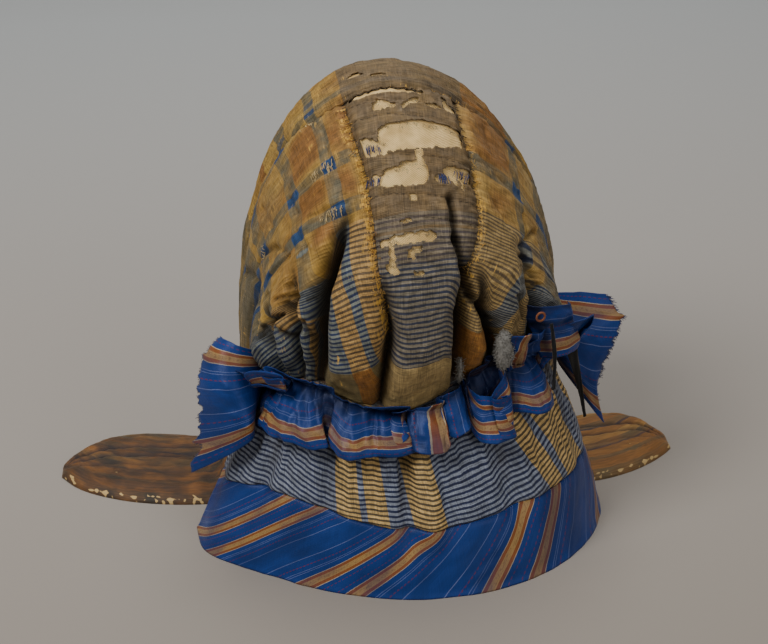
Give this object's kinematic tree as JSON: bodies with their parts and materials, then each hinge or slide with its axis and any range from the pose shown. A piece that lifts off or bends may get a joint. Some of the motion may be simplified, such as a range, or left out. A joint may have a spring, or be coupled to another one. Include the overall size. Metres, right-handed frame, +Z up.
{
  "type": "quilted silk hood",
  "caption": "Padded, quilted plaid silk hood with a gathered striped curtain, blue ribbon ruffle at the neck and two padded tabs, standing by itself.",
  "frame": {"origin": "on the surface that the hood stands on, under the middle of its box", "axes": "+Z up, +X to the wearer's right side seen from behind, +Y towards the face opening"},
  "size_m": [0.475, 0.2474, 0.3346],
  "materials": {
    "brim_silk": "soft sheen",
    "plaid_silk": "soft sheen",
    "centre_silk": "soft sheen",
    "striped_silk": "soft sheen",
    "ribbon_silk": "silk sheen",
    "tab_silk": "soft sheen"
  },
  "bodies": {
    "root": {"brim_band": "brim_silk", "crown_center": "centre_silk", "crown_left": "plaid_silk", "crown_right": "plaid_silk", "curtain": "striped_silk", "hem_band": "ribbon_silk", "ruffle": "ribbon_silk", "ruffle_tail_left": "ribbon_silk", "ruffle_tail_right": "ribbon_silk", "tab_left": "tab_silk", "tab_right": "tab_silk"}
  },
  "joints": []
}
